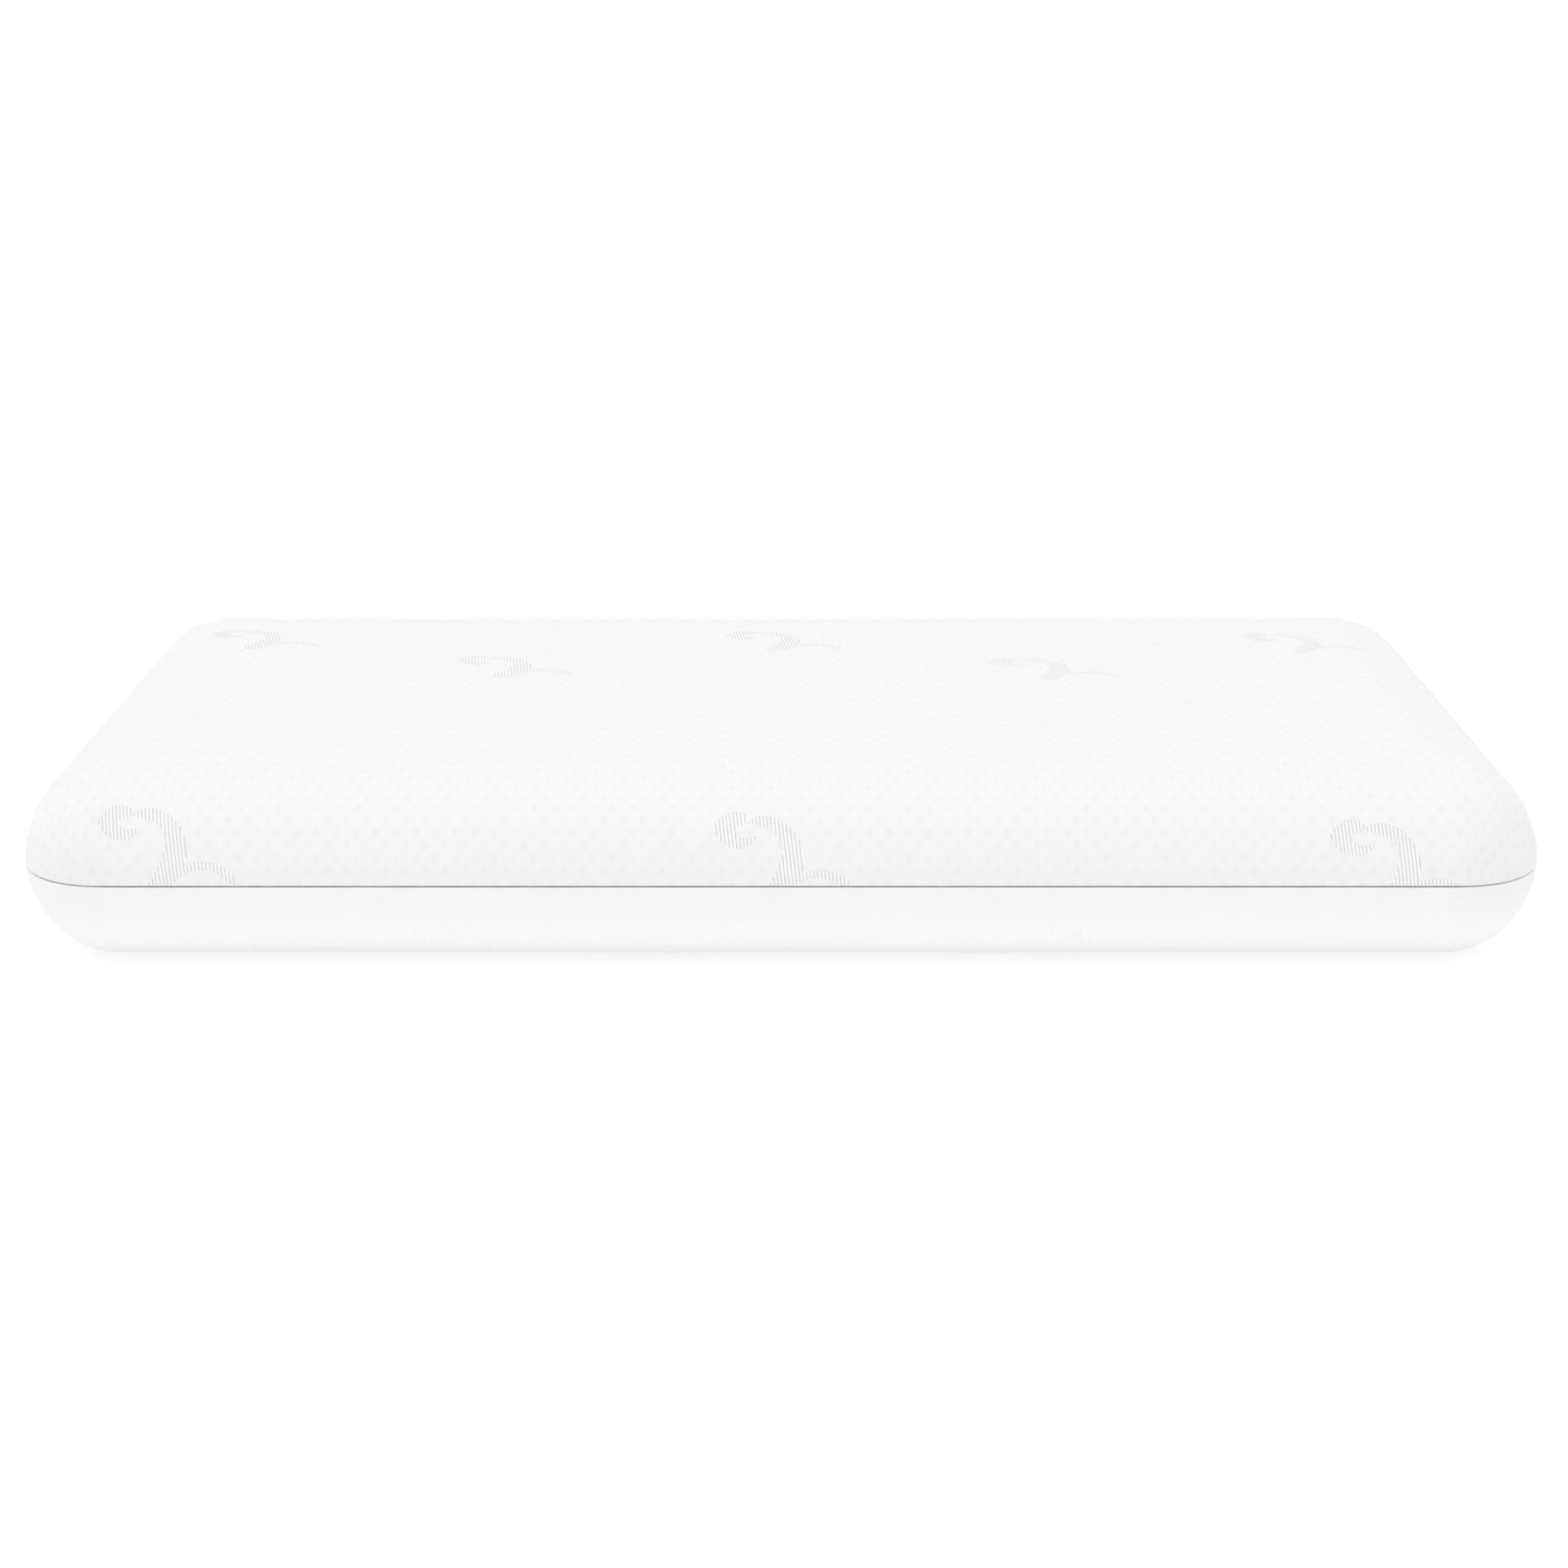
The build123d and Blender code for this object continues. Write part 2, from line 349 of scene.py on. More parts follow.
def lay_out_cloth(skin, up, side, face):
    """Write the cloth's own map, in metres, as the skin would lie if it were rolled out flat."""
    layer = skin.data.uv_layers.new(name="cloth")
    for loop in skin.data.loops:
        spot = skin.data.vertices[loop.vertex_index].co
        centre, way = from_rim(spot.x, spot.y)
        outward = way.length - panel_corner
        laid = Vector((spot.x, spot.y))
        if outward > 0.00001:
            climb = abs(spot.z - zip_height) / rise_of(up, face)
            turn = 1 - math.atan2(climb, outward / (edge_reach - side)) / quarter_turn
            laid = centre + way.normalized() * (panel_corner + quarter_length(up, side, face) * turn)
        layer.data[loop.index].uv = (laid.x, laid.y * up)


sleeve_side = length / 2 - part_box("inner_sleeve")[1].x
sleeve_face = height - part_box("inner_sleeve")[1].z
sleeve_halves = []
for up, half_name in ((1, "sleeve_sock"), (-1, "sleeve_underside")):
    half = half_skin(half_name, up, sleeve_side, sleeve_face, [])
    lay_out_cloth(half, up, sleeve_side, sleeve_face)
    sleeve_halves.append(half)
sleeve = sleeve_halves[0]
pick(sleeve)
sleeve_halves[1].select_set(True)
bpy.ops.object.join()
face_outwards(sleeve)
sleeve_normals = [vertex.normal.copy() for vertex in sleeve.data.vertices]
for vertex, normal in zip(sleeve.data.vertices, sleeve_normals):
    near_zip = 1 - min(1.0, abs(vertex.co.z - zip_height) / (height / 2))
    ripple = noise.noise(Vector((vertex.co.x * 9, vertex.co.y * 9, vertex.co.z * 22)))
    vertex.co += normal * sleeve_ripple * near_zip * (ripple - 0.6)
apply_modifier(sleeve, "SOLIDIFY", thickness=sleeve_thickness, offset=-1)
pick(sleeve)
bpy.ops.object.shade_smooth()

# Knitted loops: columns of V-shaped stitches at a set pitch along and across the cloth.
knit_loops, loops_in, loops_out = new_group(
    "knit_loops", [("Cloth", "Vector"), ("Column", "Float"), ("Course", "Float")], [("Relief", "Float")]
)
tree = knit_loops
loop_axes = put(tree, "SeparateXYZ", {0: loops_in["Cloth"]}).outputs
column = calc(tree, "FRACT", calc(tree, "DIVIDE", loop_axes[0], loops_in["Column"]))
leg = calc(tree, "ABSOLUTE", calc(tree, "SUBTRACT", column, 0.5))
slant = calc(tree, "MULTIPLY_ADD", leg, 1.6, calc(tree, "DIVIDE", loop_axes[1], loops_in["Course"]))
crest_wave = calc(tree, "COSINE", calc(tree, "MULTIPLY", slant, 2 * math.pi))
crest = calc(tree, "MULTIPLY_ADD", crest_wave, 0.5, 0.5)
gutter = calc(tree, "SINE", calc(tree, "MULTIPLY", leg, 2 * math.pi))
tree.links.new(calc(tree, "MULTIPLY", crest, gutter), loops_out["Relief"])

sleeve_material, tree, shader = new_material("sleeve_tube_knit", 0.9)
shader.inputs["Sheen Weight"].default_value = 0.15
cloth_map = put(tree, "UVMap", uv_map="cloth").outputs[0]
loops = use_group(tree, knit_loops, {"Cloth": cloth_map, "Column": sleeve_column, "Course": sleeve_course})
bands = put(tree, "TexWave", {0: cloth_map, "Scale": sleeve_band_scale}, bands_direction="Y")
banding = bands.outputs["Fac"]
# Painted shade: the sock darkens in the gutters between its loops and in the troughs of its bands, where
# the relief is low.
sleeve_painted_shading = calc(tree, "MULTIPLY_ADD", banding, 0.35, calc(tree, "MULTIPLY", loops["Relief"], 0.65))
tree.links.new(tint(tree, sleeve_painted_shading, sleeve_painted_shade, sleeve_colour), shader.inputs["Base Color"])
raise_relief(tree, shader, calc(tree, "ADD", loops["Relief"], banding), 0.0005)
dress(sleeve, sleeve_material)
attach(sleeve, "foam_core")
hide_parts("inner_sleeve")

# Twisted polyester thread: fine slanted plies on every stitch, with painted shade in the grooves between
# them.
thread_material, tree, shader = new_material("twisted_thread", 0.55)
shader.inputs["Sheen Weight"].default_value = 0.2
thread_place = put(tree, "TexCoord").outputs["Object"]
twist = put(tree, "TexWave", {0: thread_place, "Scale": ply_scale}, bands_direction="DIAGONAL")
plies = twist.outputs["Fac"]
tree.links.new(tint(tree, plies, thread_painted_shade, thread_colour), shader.inputs["Base Color"])
raise_relief(tree, shader, plies, 0.0001)


def stitch(name, size):
    """One stitch of thread along X, swollen in the middle and pulled in at both ends."""
    bpy.ops.object.select_all(action="DESELECT")
    along_x = (0, quarter_turn, 0)
    bpy.ops.mesh.primitive_uv_sphere_add(segments=6, ring_count=5, radius=0.5, rotation=along_x)
    bead = bpy.context.object
    bead.name = name
    bpy.ops.object.transform_apply(location=False, rotation=True, scale=False)
    bead.scale = size
    bpy.ops.object.transform_apply(location=False, rotation=False, scale=True)
    bpy.ops.object.shade_smooth()
    return bead


def stitch_row(name, size, start, end, pitch, lean=0.0):
    """A straight row of stitches from start to end on a face that looks along X or Y."""
    bead = stitch(name, size)
    run = Vector(end) - Vector(start)
    count = max(2, round(run.length / pitch))
    bead.rotation_euler = (0, 0, math.atan2(run.y, run.x)) if abs(run.z) < 0.0001 else (0, quarter_turn, 0)
    bpy.ops.object.transform_apply(location=False, rotation=True, scale=False)
    if lean:
        bead.rotation_euler = (lean, 0, 0)
        bpy.ops.object.transform_apply(location=False, rotation=True, scale=False)
    bead.location = Vector(start) + run / count / 2
    bpy.ops.object.transform_apply(location=True, rotation=False, scale=False)
    apply_modifier(
        bead,
        "ARRAY",
        count=count,
        use_relative_offset=False,
        use_constant_offset=True,
        constant_offset_displace=run / count,
    )
    return bead


def join_pieces(pieces, name):
    """Make one piece of several, under one name."""
    pick(pieces[0])
    for piece in pieces:
        piece.select_set(True)
    bpy.ops.object.join()
    pieces[0].name = name
    return pieces[0]


seam_low, seam_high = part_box("sleeve_closing_seam")
seam_x = seam_high.x - sleeve_ripple / 2
crossed_rows = []
for lean in (-sleeve_stitch_lean, sleeve_stitch_lean):
    seam_start = (seam_x, seam_low.y, zip_height)
    seam_end = (seam_x, seam_high.y, zip_height)
    crossed_rows.append(
        stitch_row("sleeve_stitch", sleeve_stitch_size, seam_start, seam_end, sleeve_stitch_pitch, lean)
    )
sleeve_seam = join_pieces(crossed_rows, "sleeve_seam")
dress(sleeve_seam, thread_material)
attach(sleeve_seam, "foam_core")
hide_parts("sleeve_closing_seam")

# ---- lower cover ----------------------------------------------------------------
# The lower half of the zip-off cover: the bottom panel and the sides up to the zip, cut
# from white stretch jacquard knit. It lies flat on the ground between its rounded edges
# and is drawn in a little at its lip, where the zip tape is sewn behind it.
cover_side = 0.0008
cover_thickness = 0.0027
lip_thickness = 0.0006
lip_gap = 0.0010
lip_rows = ((0.0125, 0.0), (0.0070, -0.0002), (0.0032, -0.0004), (0.0000, -0.0002))
seam_band = 0.0115
seam_ramp = 0.020
swell_most = 0.0032
held_band = 0.012
loose_band = 0.045
ground_clear = 0.0015
air_pressure = 4
pressure_frames = 20
broad_wave = 4.0
broad_swell = 0.0011
small_wave = 11.0
small_swell = 0.0005
pucker_along = 34.0
pucker_across = 7.0
pucker_swell = 0.0007
pucker_band = 0.012
cover_column = 0.0016
cover_course = 0.0013
# The knit's painted highlight and painted shadow: crests of ribs and loops take the first, grooves, gutters
# and dimples the second.
base_knit_painted_highlight = (0.860, 0.860, 0.857, 1)
base_knit_shadow = (0.832, 0.832, 0.829, 1)


def lip_places(up, side):
    """The last rows of a cover above or below the zip, turned in towards its tape."""
    places = []
    for away, tuck in lip_rows:
        level = zip_height + up * (lip_gap + away)
        outward = (edge_reach - side) * math.cos(angle_at(up, 0, level)) - tuck
        places.append((outward, level))
    return places


def hold_weight(place, up):
    """How firmly a spot of the cover is held: at its lip by the zip, below by the ground."""
    from_lip = abs(place.z - zip_height) - lip_gap
    at_lip = 1 - min(1.0, max(0.0, (from_lip - held_band) / loose_band))
    on_ground = 1.0 if up < 0 and place.z < ground_clear else 0.0
    return max(at_lip, on_ground)


def swell(skin, hold):
    """Press the skin outwards from inside for a few frames, as the padded core does."""
    held = skin.vertex_groups.new(name="held")
    for index, weight in enumerate(hold):
        held.add([index], weight, "REPLACE")
    cloth = skin.modifiers.new("Swell", "CLOTH")
    cloth.settings.quality = 4
    cloth.settings.mass = 0.1
    cloth.settings.tension_stiffness = 25
    cloth.settings.compression_stiffness = 25
    cloth.settings.bending_stiffness = 2
    cloth.settings.use_pressure = True
    cloth.settings.uniform_pressure_force = air_pressure
    cloth.settings.vertex_group_mass = "held"
    cloth.settings.effector_weights.gravity = 0
    for step in range(1, pressure_frames + 1):
        bpy.context.scene.frame_set(step)
    pick(skin)
    bpy.ops.object.modifier_apply(modifier="Swell")
    bpy.context.scene.frame_set(1)
    skin.vertex_groups.clear()


def fill_out(skin, up):
    """Swell the skin, cap how far each spot has moved, and leave it slightly uneven."""
    rest = [vertex.co.copy() for vertex in skin.data.vertices]
    hold = [hold_weight(place, up) for place in rest]
    swell(skin, hold)
    normals = [vertex.normal.copy() for vertex in skin.data.vertices]
    for vertex, start, firm, normal in zip(skin.data.vertices, rest, hold, normals):
        move = vertex.co - start
        if move.length > 0:
            move *= swell_most * math.tanh(move.length / swell_most) / move.length
        broad = noise.noise(start * broad_wave) * broad_swell
        broad += noise.noise(start * small_wave) * small_swell
        along = Vector((start.x * pucker_along, start.y * pucker_along, up * pucker_across))
        pucker = noise.noise(along) * pucker_swell
        near_lip = math.exp(-(((abs(start.z - zip_height) - pucker_band) / pucker_band) ** 2))
        settled = start + move + normal * (broad * (1 - firm) + pucker * near_lip)
        settled.z = max(0.0, settled.z)
        vertex.co = settled


def finish_cover(skin):
    """Give the cover its thickness inwards, thinner where the seam presses its lip flat."""
    padded_part = skin.vertex_groups.new(name="padded_part")
    for vertex in skin.data.vertices:
        from_lip = abs(vertex.co.z - zip_height) - lip_gap
        share = min(1.0, max(0.0, (from_lip - seam_band) / seam_ramp))
        padded_part.add([vertex.index], share, "REPLACE")
    apply_modifier(
        skin,
        "SOLIDIFY",
        thickness=cover_thickness,
        offset=-1,
        use_even_offset=True,
        vertex_group="padded_part",
        thickness_vertex_group=lip_thickness / cover_thickness,
    )
    skin.vertex_groups.clear()
    apply_modifier(skin, "SUBSURF", levels=1, render_levels=1)
    pick(skin)
    bpy.ops.object.shade_smooth()


# One tapered stroke of a woven scroll: part of a ring, wider at one end, rounded off.
scroll_stroke, stroke_in, stroke_out = new_group(
    "scroll_stroke",
    [
        ("Across", "Float"),
        ("Up", "Float"),
        ("Centre Across", "Float"),
        ("Centre Up", "Float"),
        ("Radius", "Float"),
        ("Middle", "Float"),
        ("Half Sweep", "Float"),
        ("First Half Width", "Float"),
        ("Last Half Width", "Float"),
    ],
    [("Mask", "Float")],
)
tree = scroll_stroke
off_x = calc(tree, "SUBTRACT", stroke_in["Across"], stroke_in["Centre Across"])
off_y = calc(tree, "SUBTRACT", stroke_in["Up"], stroke_in["Centre Up"])
far = calc(tree, "SQRT", calc(tree, "MULTIPLY_ADD", off_x, off_x, calc(tree, "MULTIPLY", off_y, off_y)))
from_ring = calc(tree, "ABSOLUTE", calc(tree, "SUBTRACT", far, stroke_in["Radius"]))
heading = calc(tree, "SUBTRACT", calc(tree, "ARCTAN2", off_y, off_x), stroke_in["Middle"])
turned = calc(tree, "DIVIDE", calc(tree, "WRAP", heading, math.pi, -math.pi), stroke_in["Half Sweep"])
spread = calc(tree, "SUBTRACT", stroke_in["Last Half Width"], stroke_in["First Half Width"])
share = calc(tree, "MULTIPLY_ADD", turned, 0.5, 0.5)
half_width = calc(tree, "MULTIPLY_ADD", share, spread, stroke_in["First Half Width"])
room = calc(tree, "MAXIMUM", calc(tree, "SUBTRACT", 1.0, calc(tree, "ABSOLUTE", turned)), 0.0)
end_round = calc(tree, "MINIMUM", calc(tree, "SQRT", calc(tree, "MULTIPLY", room, 3.5)), 1.0)
inside = calc(tree, "MULTIPLY_ADD", half_width, end_round, calc(tree, "MULTIPLY", from_ring, -1.0))
stroke_mask = put(tree, "Math", {0: inside, 1: 900.0}, operation="MULTIPLY", use_clamp=True)
tree.links.new(stroke_mask.outputs[0], stroke_out["Mask"])

# The scroll: a crook that curls back to its eye, its tail, and a smaller arch beside it.
# Each stroke: centre across and up from the eye, radius, middle and half sweep in degrees,
# and its half width at its clockwise and anticlockwise end.
scroll_strokes = (
    (-0.011, -0.017, 0.0185, 122, 64, 0.0070, 0.0148),
    (-0.008, -0.006, 0.0210, 243, 80, 0.0145, 0.0030),
    (0.013, -0.043, 0.0425, 33, 74, 0.0150, 0.0060),
    (-0.033, -0.028, 0.0880, -24, 26, 0.0145, 0.0125),
    (0.087, -0.109, 0.0470, 88, 55, 0.0065, 0.0035),
)

# The jacquard: the scrolls in dropped rows, ribbed inside, on a ground of small dimples. Its tone is
# painted shade in the rib grooves and the dimples, and painted highlight on the rib crests.
scroll_repeat_across = 0.75
scroll_repeat_up = 0.70
scroll_drop = 0.14
scroll_row_split = -0.103
scroll_rows_from = -0.35
scroll_eye_across = -0.04
scroll_eye_up = 0.077
scroll_lean = 0.0125
rib_pitch = 0.0045
rib_lean = 0.12
dimple_across = 0.024
dimple_up = 0.030
dimple_patches = 40.0
ground_tone = 0.63
dimple_painted_shade = 0.16

jacquard, weave_in, weave_out = new_group(
    "jacquard",
    [("Cloth", "Vector"), ("Zip Line", "Float"), ("Dimples", "Float"), ("Ribs", "Float")],
    [("Relief", "Float"), ("Tone", "Float")],
)
tree = jacquard
cloth_axes = put(tree, "SeparateXYZ", {0: weave_in["Cloth"]}).outputs
from_zip = calc(tree, "SUBTRACT", cloth_axes[1], weave_in["Zip Line"])
leaning = calc(tree, "MULTIPLY_ADD", cloth_axes[0], scroll_lean, from_zip)
above_eye = calc(tree, "SUBTRACT", leaning, scroll_eye_up)
row_place = calc(tree, "WRAP", above_eye, scroll_rows_from + scroll_repeat_up, scroll_rows_from)
dropped = calc(tree, "LESS_THAN", row_place, scroll_row_split)
scroll_up = calc(tree, "MULTIPLY_ADD", dropped, scroll_drop, row_place)
off_eye = calc(tree, "SUBTRACT", cloth_axes[0], scroll_eye_across)
shifted = calc(tree, "MULTIPLY_ADD", dropped, -scroll_repeat_across / 2, off_eye)
scroll_across = calc(tree, "WRAP", shifted, scroll_repeat_across / 2, -scroll_repeat_across / 2)
scrolls = 0.0
for across, up, radius, middle, half_sweep, first, last in scroll_strokes:
    stroke = use_group(
        tree,
        scroll_stroke,
        {
            "Across": scroll_across,
            "Up": scroll_up,
            "Centre Across": across,
            "Centre Up": up,
            "Radius": radius,
            "Middle": math.radians(middle),
            "Half Sweep": math.radians(half_sweep),
            "First Half Width": first,
            "Last Half Width": last,
        },
    )
    scrolls = calc(tree, "MAXIMUM", scrolls, stroke["Mask"])
leaning_across = calc(tree, "MULTIPLY_ADD", cloth_axes[1], rib_lean, cloth_axes[0])
rib_wave = calc(tree, "SINE", calc(tree, "MULTIPLY", leaning_across, 2 * math.pi / rib_pitch))
ribs = calc(tree, "MULTIPLY", calc(tree, "MULTIPLY_ADD", rib_wave, 0.5, 0.5), weave_in["Ribs"])
turns_across = calc(tree, "MULTIPLY", cloth_axes[0], 2 * math.pi / dimple_across)
turns_up = calc(tree, "MULTIPLY", cloth_axes[1], 2 * math.pi / dimple_up)
rising = calc(tree, "COSINE", calc(tree, "ADD", turns_across, turns_up))
falling = calc(tree, "COSINE", calc(tree, "SUBTRACT", turns_across, turns_up))
one_way = calc(tree, "MULTIPLY_ADD", rising, 0.5, 0.5)
other_way = calc(tree, "MULTIPLY_ADD", falling, 0.5, 0.5)
patches = put(tree, "TexNoise", {"Vector": weave_in["Cloth"], "Scale": dimple_patches, "Detail": 1.0})
uneven = calc(tree, "MULTIPLY_ADD", patches.outputs[0], 1.8, 0.1)
depth = calc(tree, "MULTIPLY", uneven, weave_in["Dimples"])
dimple = calc(tree, "MULTIPLY", calc(tree, "POWER", calc(tree, "MULTIPLY", one_way, other_way), 1.5), depth)
ground = calc(tree, "SUBTRACT", 1.0, dimple)
woven = put(tree, "Mix", {0: scrolls, 2: ground, 3: calc(tree, "SUBTRACT", 1.0, ribs)}).outputs[0]
# Painted shade in the rib grooves and the dimples, painted highlight on the rib crests.
rib_painted_shade = calc(tree, "POWER", ribs, 2.5)
ground_with_painted_shade = calc(tree, "MULTIPLY_ADD", dimple, -dimple_painted_shade, ground_tone)
painted_shading = put(tree, "Mix", {0: scrolls, 2: ground_with_painted_shade, 3: calc(tree, "SUBTRACT", 1.0, rib_painted_shade)}).outputs[0]
fine_loops = use_group(
    tree, knit_loops, {"Cloth": weave_in["Cloth"], "Column": cover_column, "Course": cover_course}
)
tree.links.new(calc(tree, "MULTIPLY_ADD", fine_loops["Relief"], 0.12, woven), weave_out["Relief"])
tree.links.new(painted_shading, weave_out["Tone"])


def jacquard_material(name, zip_line, dimples, ribs, shadow, white):
    """White jacquard knit, with its zip edge at this place on the cloth's own map; its tone runs from
    painted shadow in the rib grooves and dimples to painted highlight on the rib crests.
    """
    material, tree, shader = new_material(name, 0.85)
    shader.inputs["Sheen Weight"].default_value = 0.1
    cloth_map = put(tree, "UVMap", uv_map="cloth").outputs[0]
    weave = use_group(
        tree, jacquard, {"Cloth": cloth_map, "Zip Line": zip_line, "Dimples": dimples, "Ribs": ribs}
    )
    tree.links.new(tint(tree, weave["Tone"], shadow, white), shader.inputs["Base Color"])
    raise_relief(tree, shader, weave["Relief"], 0.0009)
    return material


def cover_half(name, node, body, up, material):
    """One half of the cover, from its flat panel to its lip, as a stretched sheet of cloth."""
    cover = half_skin(name, up, cover_side, 0, lip_places(up, cover_side))
    lay_out_cloth(cover, up, cover_side, 0)
    fill_out(cover, up)
    finish_cover(cover)
    dress(cover, material)
    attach(cover, body)
    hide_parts(node)


base_zip_line = panel_width / 2 + quarter_length(-1, cover_side, 0)
lower_cover_knit = jacquard_material(
    "lower_cover_knit", base_zip_line, 0.3, 0.5, base_knit_shadow, base_knit_painted_highlight
)
cover_half("lower_cover_knit", "base_cover", "lower_cover", -1, lower_cover_knit)

# ---- lower half of the zip ------------------------------------------------------
# A polyester coil zip that opens all round: a woven tape sewn behind the lip with a
# lockstitch, a helical coil of monofilament along the tape's edge, and a crimped stop
# at each end of the coil, where the chain's two ends meet at the back.
tape_gap = 0.002
tape_thickness = 0.0006
tape_inset = 0.0027
tape_element = 0.012
tape_edge_turn = 0.0002
twill_turns = 94.2
coil_pitch = 0.0019
coil_half_height = 0.00125
coil_depth = 0.0016
coil_inset = 0.0011
coil_wire = 0.00045
coil_steps = 8
coil_overlap = 0.0001
row_shift = 0.25
stitch_pitch = 0.0036
stitch_size = (0.0030, 0.0005, 0.0006)
tape_colour = (0.95, 0.95, 0.94, 1)
tape_painted_shade = (0.86, 0.86, 0.85, 1)
coil_colour = (0.97, 0.97, 0.96, 1)
coil_dark = (0.93, 0.93, 0.92, 1)
zinc_colour = (0.50, 0.51, 0.52, 1)
zinc_dark = (0.26, 0.27, 0.28, 1)
handled_zinc_colour = (0.62, 0.63, 0.64, 1)

garage_low, garage_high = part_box("zip_garage")
stops_low, stops_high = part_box("lower_chain_stops")
chain_end_x = (garage_low.x + garage_high.x) / 2
coil_gap = stops_high.x - stops_low.x
loop_length = 4 * (straight.x + straight.y) + 2 * math.pi * plan_corner
round_handle = 0.5523 * plan_corner
short_handle = 0.010


def zip_line():
    """A guide curve once round the mattress on the zip line, clockwise from the chain's end."""
    corners = [((chain_end_x, straight.y + plan_corner), (1, 0), short_handle, short_handle)]
    for side_x, side_y, way_in, way_out in (
        (1, 1, (1, 0), (0, -1)),
        (1, -1, (0, -1), (-1, 0)),
        (-1, -1, (-1, 0), (0, 1)),
        (-1, 1, (0, 1), (1, 0)),
    ):
        for way, before, after in (
            (way_in, short_handle, round_handle),
            (way_out, round_handle, short_handle),
        ):
            out_x = side_x * straight.x - way[1] * plan_corner
            out_y = side_y * straight.y + way[0] * plan_corner
            corners.append(((out_x, out_y), way, before, after))
    corners.append(corners[0])
    bpy.ops.object.select_all(action="DESELECT")
    bpy.ops.curve.primitive_bezier_curve_add(location=(0, 0, 0))
    guide = bpy.context.object
    guide.name = "zip_line"
    guide.data.dimensions = "3D"
    guide.data.twist_mode = "Z_UP"
    guide.data.resolution_u = 32
    spline = guide.data.splines[0]
    spline.bezier_points.add(len(corners) - 2)
    for point, (place, way, before, after) in zip(spline.bezier_points, corners):
        point.handle_left_type = "FREE"
        point.handle_right_type = "FREE"
        point.co = (place[0], place[1], zip_height)
        point.handle_left = point.co - Vector((way[0], way[1], 0)) * before
        point.handle_right = point.co + Vector((way[0], way[1], 0)) * after
    return guide


zip_guide = zip_line()


def repeat_round(piece, gap, pitch):
    """Repeat a short element from one end of the chain to the other and bend it round."""
    count = round((loop_length - gap) / pitch)
    step = (loop_length - gap) / count
    apply_modifier(
        piece,
        "ARRAY",
        count=count,
        use_relative_offset=False,
        use_constant_offset=True,
        constant_offset_displace=(step, 0, 0),
        use_merge_vertices=True,
        merge_threshold=0.00001,
    )
    bend_round(piece)


def bend_round(piece):
    """Bend a straight run along X round the zip line, its +Y side outwards."""
    apply_modifier(piece, "CURVE", object=zip_guide, deform_axis="POS_X")


def zip_tape(name, node, body):
    """A woven tape behind the lip, with its edges turned round."""
    low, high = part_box(node)
    tall = high.z - low.z
    count = round((loop_length - tape_gap) / tape_element)
    step = (loop_length - tape_gap) / count
    place = (tape_gap / 2 + step / 2, -tape_inset, (low.z + high.z) / 2 - zip_height)
    bpy.ops.object.select_all(action="DESELECT")
    bpy.ops.mesh.primitive_plane_add(size=1, location=place, rotation=(quarter_turn, 0, math.pi))
    tape = bpy.context.object
    tape.name = name
    tape.scale = (step, tall, 1)
    bpy.ops.object.transform_apply(location=True, rotation=True, scale=True)
    bpy.ops.object.mode_set(mode="EDIT")
    select_edges(tape, lambda edge: abs(edge.verts[0].co.z - edge.verts[1].co.z) > tall / 2)
    bpy.ops.mesh.subdivide(number_cuts=5)
    mesh = bmesh.from_edit_mesh(tape.data)
    for vertex in mesh.verts:
        from_middle = abs(vertex.co.z + zip_height - (low.z + high.z) / 2) / (tall / 2)
        vertex.co.y -= tape_edge_turn * from_middle**4
    bmesh.update_edit_mesh(tape.data)
    repeat_round(tape, tape_gap, tape_element)
    apply_modifier(tape, "SOLIDIFY", thickness=tape_thickness, offset=-1)
    pick(tape)
    bpy.ops.object.shade_smooth_by_angle(angle=math.radians(50))
    dress(tape, tape_material)
    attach(tape, body)
    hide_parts(node)


def zip_coil(name, up, node, body):
    """A helix of monofilament, squeezed flat, whose heads reach between the other row's."""
    count = round((loop_length - coil_gap) / coil_pitch)
    pitch = (loop_length - coil_gap) / count
    bpy.ops.object.select_all(action="DESELECT")
    bpy.ops.mesh.primitive_circle_add(
        vertices=4,
        radius=coil_wire,
        location=(0, 0, coil_half_height - coil_wire),
        rotation=(quarter_turn, 0, 0),
    )
    coil = bpy.context.object
    coil.name = name
    bpy.ops.object.transform_apply(location=True, rotation=True, scale=True)
    apply_modifier(
        coil,
        "SCREW",
        axis="X",
        angle=2 * math.pi,
        screw_offset=pitch,
        iterations=count,
        steps=coil_steps,
        render_steps=coil_steps,
        use_smooth_shade=True,
    )
    bpy.ops.object.mode_set(mode="EDIT")
    bpy.ops.mesh.select_all(action="SELECT")
    bpy.ops.mesh.fill_holes(sides=0)
    bpy.ops.mesh.select_all(action="SELECT")
    bpy.ops.transform.resize(value=(1, coil_depth / 2 / coil_half_height, 1), center_override=(0, 0, 0))
    offset = (0.5 + row_shift * up) * pitch
    inset = coil_inset + coil_depth / 2
    middle = up * (coil_half_height - coil_overlap)
    bpy.ops.transform.translate(value=(coil_gap / 2 + offset - pitch / 2, -inset, middle))
    bpy.ops.mesh.normals_make_consistent(inside=False)
    bend_round(coil)
    dress(coil, coil_material)
    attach(coil, body)
    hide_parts(node)


def tape_stitching(name, node, body):
    """The lockstitch that holds the tape to the cover, along the tape's inner face."""
    low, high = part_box(node)
    seam = stitch(name, stitch_size)
    middle = (low.z + high.z) / 2 - zip_height
    inset = tape_inset + tape_thickness + stitch_size[1] / 2
    seam.location = (tape_gap / 2 + stitch_pitch / 2, -inset, middle)
    bpy.ops.object.transform_apply(location=True, rotation=False, scale=False)
    repeat_round(seam, tape_gap, stitch_pitch)
    dress(seam, thread_material)
    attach(seam, body)
    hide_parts(node)
